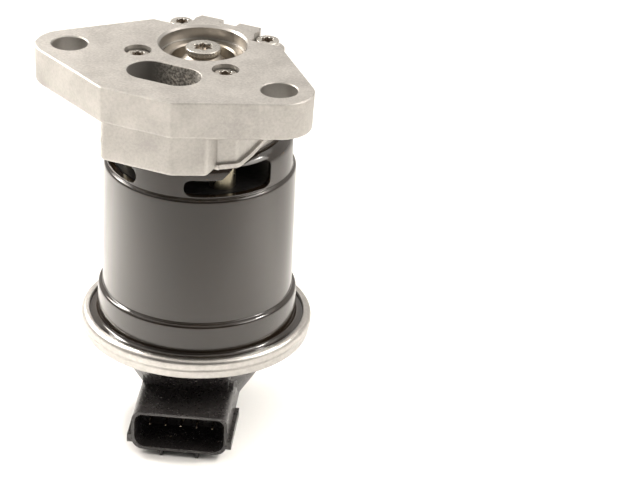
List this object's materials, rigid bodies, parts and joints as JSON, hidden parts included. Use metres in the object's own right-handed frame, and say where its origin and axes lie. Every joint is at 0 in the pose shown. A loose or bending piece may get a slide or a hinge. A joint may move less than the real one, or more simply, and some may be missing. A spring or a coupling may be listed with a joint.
{
  "type": "exhaust gas recirculation valve",
  "caption": "Solenoid exhaust gas recirculation valve with a flanged aluminium housing, a poppet in the round port, a black can and a plug socket.",
  "frame": {"origin": "where the valve axis meets the flange's mounting face, at the centre of the round port's mouth", "axes": "+Z along the valve axis out of the mounting face, +X along the line of the two bolt holes, -Y towards the slot port and the plug socket"},
  "size_m": [0.0744, 0.0662, 0.102],
  "materials": {
    "cast_aluminium": "fine shot-blasted casting with a machined mounting face",
    "seat_steel": "turned and polished stainless steel",
    "screw_steel": "satin stainless steel",
    "plated_steel": "zinc plated steel with a slight yellow tint",
    "ring_steel": "satin rolled steel",
    "spring_steel": "drawn spring wire",
    "black_oxide": "black coated steel",
    "black_paint": "gloss black enamel",
    "black_plastic": "satin moulded plastic",
    "bobbin_plastic": "moulded plastic",
    "copper_winding": "enamelled copper wire under clear tape",
    "bush_bronze": "sintered bronze",
    "contact_brass": "bright brass",
    "contact_tin": "tinned brass",
    "board_green": "coated circuit board",
    "seal_black": "smooth rubber"
  },
  "bodies": {
    "valve_body": {"valve_housing": "cast_aluminium", "valve_seat": "seat_steel", "stem_bush": "bush_bronze", "stem_seal": "seal_black", "seal_retainer": "plated_steel", "housing_screws": "screw_steel", "spacer_sleeves": "plated_steel", "solenoid_can": "black_paint", "upper_pole_plate": "black_oxide", "lower_pole_plate": "plated_steel", "guide_tube": "seat_steel", "lower_core": "plated_steel", "coil_bobbin": "bobbin_plastic", "coil_winding": "copper_winding", "coil_terminals": "contact_brass", "seal_strip": "seal_black", "crimp_ring": "ring_steel", "sensor_cover": "black_plastic", "connector_pins": "contact_tin", "sensor_frame": "bobbin_plastic", "sensor_board": "board_green", "return_spring": "spring_steel", "sensor_spring": "spring_steel"},
    "valve": {"poppet": "seat_steel", "poppet_screw": "screw_steel", "valve_stem": "seat_steel", "armature": "plated_steel"},
    "sensor": {"sensor_plunger": "contact_brass", "wiper_carrier": "bobbin_plastic", "wiper_contacts": "contact_brass"}
  },
  "joints": [
    {"name": "valve_lift", "type": "slide", "parent": "valve_body", "child": "valve", "axis": [0, 0, -1], "range_m": [0, 0.0045], "stiffness_N_per_m": 2500, "springref_m": -0.008, "deforming": ["return_spring"]},
    {"name": "sensor_follow", "type": "slide", "parent": "valve_body", "child": "sensor", "axis": [0, 0, -1], "range_m": [0, 0.0045], "stiffness_N_per_m": 150, "springref_m": -0.006, "deforming": ["sensor_spring"]}
  ],
  "couplings": [
    {"joint": "sensor_follow", "follows": "valve_lift", "ratio": 1}
  ]
}
